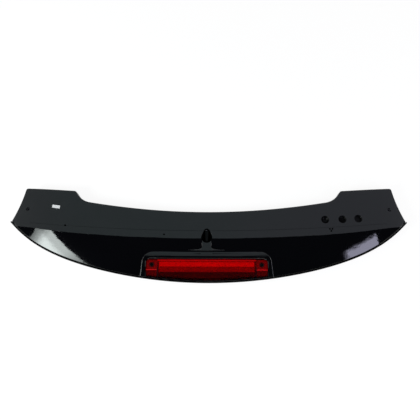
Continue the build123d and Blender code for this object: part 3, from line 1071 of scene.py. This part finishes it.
@dataclass(frozen=True)
class Card:
    """A flat studio card that only shows in reflections."""

    name: str
    middle: Tuple[float, float, float]
    size: Tuple[float, float]
    colour: Colour
    upright: bool = False

    def build(self) -> None:
        """Hangs the card over the object or stands it in front."""
        work = bmesh.new()
        made = bmesh.ops.create_grid(work, x_segments=1, y_segments=1, size=UNIT_SQUARE_HALF)
        bmesh.ops.scale(work, vec=(*self.size, 1.0), verts=made["verts"])
        if self.upright:
            turn = Matrix.Rotation(QUARTER_TURN, 3, "X")
            bmesh.ops.rotate(work, cent=(0.0, 0.0, 0.0), matrix=turn, verts=made["verts"])
        bmesh.ops.translate(work, vec=self.middle, verts=made["verts"])
        obj = mesh_object(self.name, work)
        obj.data.materials.append(self.material())
        obj.visible_camera = False
        obj.visible_diffuse = False
        obj.visible_transmission = False
        obj.visible_shadow = False

    def material(self) -> bpy.types.Material:
        """The card's even tone.

        Returns:
            The material.
        """
        made = bare_material(self.name)
        tree = made.node_tree
        glow = tree.nodes.new("ShaderNodeEmission")
        glow.inputs["Color"].default_value = opaque(self.colour)
        tree.links.new(glow.outputs["Emission"], tree.nodes["Material Output"].inputs["Surface"])
        return made


@dataclass
class Studio:
    """Floor, light and camera."""

    target: Vector = field(default_factory=lambda: Vector((0.0094, 0.0779, 0.040)))
    distance: float = 1.4
    elevation: float = 74.0
    side_lean: float = 0.02065
    roll: float = 0.00186
    lens_mm: float = 37.707
    sensor_mm: float = 36.0
    floor_half: float = 6.0
    floor_colour: Colour = (0.20, 0.20, 0.20)
    floor_white: float = 0.88
    ambient: float = 0.35
    shown_white: float = 1.0
    cards: Sequence[Card] = (
        Card("dark_ceiling", middle=(0.0, -1.9, 2.2), size=(10.0, 4.2), colour=CARD_DARK),
        Card("dark_front", middle=(0.0, -4.0, 1.1), size=(10.0, 2.2), colour=CARD_DARK, upright=True),
        Card("grey_ceiling_end", middle=(-3.2, 2.6, 2.2), size=(3.6, 4.8), colour=(0.41, 0.425, 0.45)),
        Card("grey_ceiling_left", middle=(-0.6, 2.6, 2.2), size=(1.6, 4.8), colour=(0.36, 0.44, 0.46)),
        Card("grey_ceiling_right", middle=(2.7, 2.6, 2.2), size=(5.0, 4.8), colour=(0.45, 0.45, 0.52)),
    )
    lamps: Sequence[Softbox] = (
        Softbox(
            "left_softbox",
            azimuth=-132.0,
            elevation=43.8,
            distance=2.0,
            width=0.80,
            height=0.98,
            radiance=14.2,
            aim=(-0.47, -0.03, 0.04),
            colour=(0.92, 1.0, 0.98),
            ramps=(
                Ramp(Along.WIDTH, start=0.03, end=0.25, before=0.22, after=1.0),
                Ramp(Along.WIDTH, start=0.48, end=0.82, before=1.0, after=0.36),
                Ramp(Along.HEIGHT, start=0.83, end=0.92, before=1.0, after=0.64),
            ),
        ),
        Softbox(
            "right_softbox",
            azimuth=139.2,
            elevation=45.3,
            distance=2.0,
            width=0.555,
            height=1.0,
            radiance=5.4,
            aim=(0.47, -0.03, 0.04),
            colour=(0.785, 0.775, 1.0),
            roll=-16.0,
            ramps=(
                Ramp(Along.HEIGHT, start=0.95, end=1.0, before=1.0, after=0.08),
                Ramp(Along.WIDTH, start=0.22, end=0.34, before=0.0, after=1.0),
            ),
        ),
        strip_lamp("left_strip", -1.0),
        strip_lamp("right_strip", 1.0),
    )

    def build(self) -> None:
        """Sets the whole stage."""
        self.make_floor()
        self.make_world()
        for card in self.cards:
            card.build()
        for lamp in self.lamps:
            lamp.build()
        self.make_camera()
        bpy.context.scene.view_settings.view_transform = "Standard"
        LOG.info("studio: %d cards, %d lamps", len(self.cards), len(self.lamps))

    def shown_ray(self, tree: bpy.types.NodeTree) -> bpy.types.NodeSocket:
        """A socket that is 1 for camera, reflected and refracted rays.

        Args:
            tree: The node tree to add it to.

        Returns:
            The socket.
        """
        path = tree.nodes.new("ShaderNodeLightPath")
        total = path.outputs["Is Camera Ray"]
        for kind in ("Is Glossy Ray", "Is Transmission Ray"):
            total = join_numbers(tree, Rule.LARGER, total, path.outputs[kind])
        return total

    def make_floor(self) -> None:
        """Lays the pale floor under the spoiler."""
        work = bmesh.new()
        bmesh.ops.create_grid(work, x_segments=1, y_segments=1, size=self.floor_half)
        floor = mesh_object("floor", work)
        made = bare_material("floor")
        tree = made.node_tree
        matt = tree.nodes.new("ShaderNodeBsdfDiffuse")
        matt.inputs["Color"].default_value = opaque(self.floor_colour)
        glow = tree.nodes.new("ShaderNodeEmission")
        level = map_range(tree, OFF_TO_ON, (0.0, self.floor_white))
        tree.links.new(self.shown_ray(tree), level.inputs["Value"])
        tree.links.new(level.outputs["Result"], glow.inputs["Strength"])
        both = tree.nodes.new("ShaderNodeAddShader")
        tree.links.new(matt.outputs["BSDF"], both.inputs[0])
        tree.links.new(glow.outputs["Emission"], both.inputs[1])
        tree.links.new(both.outputs["Shader"], tree.nodes["Material Output"].inputs["Surface"])
        floor.data.materials.append(made)

    def make_world(self) -> None:
        """Soft light from all round, white where it is seen."""
        world = bpy.data.worlds.new("studio")
        bpy.context.scene.world = world
        world.use_nodes = True
        tree = world.node_tree
        sky = tree.nodes["Background"]
        level = map_range(tree, OFF_TO_ON, (self.ambient, self.shown_white))
        tree.links.new(self.shown_ray(tree), level.inputs["Value"])
        sky.inputs["Color"].default_value = opaque(WHITE)
        tree.links.new(level.outputs["Result"], sky.inputs["Strength"])

    def make_camera(self) -> None:
        """Puts the camera at the photograph's viewing angle."""
        data = bpy.data.cameras.new("camera")
        data.lens = self.lens_mm
        data.sensor_width = self.sensor_mm
        camera = bpy.data.objects.new("camera", data)
        tilt = math.radians(self.elevation)
        back = Vector((self.side_lean, -math.cos(tilt), math.sin(tilt))).normalized()
        right = -WIDTHWAYS.cross(back).cross(back).normalized()
        axes = Matrix((right, back.cross(right), back)).transposed()
        camera.location = self.target + back * self.distance
        camera.rotation_euler = (axes @ Matrix.Rotation(self.roll, 3, "Z")).to_euler()
        bpy.context.scene.collection.objects.link(camera)
        bpy.context.scene.camera = camera


def main() -> None:
    """Builds the spoiler and its studio."""
    logging.basicConfig(level=logging.INFO, format="%(name)s: %(message)s")
    Spoiler().build()
    Studio().build()


if __name__ == "__main__":
    main()
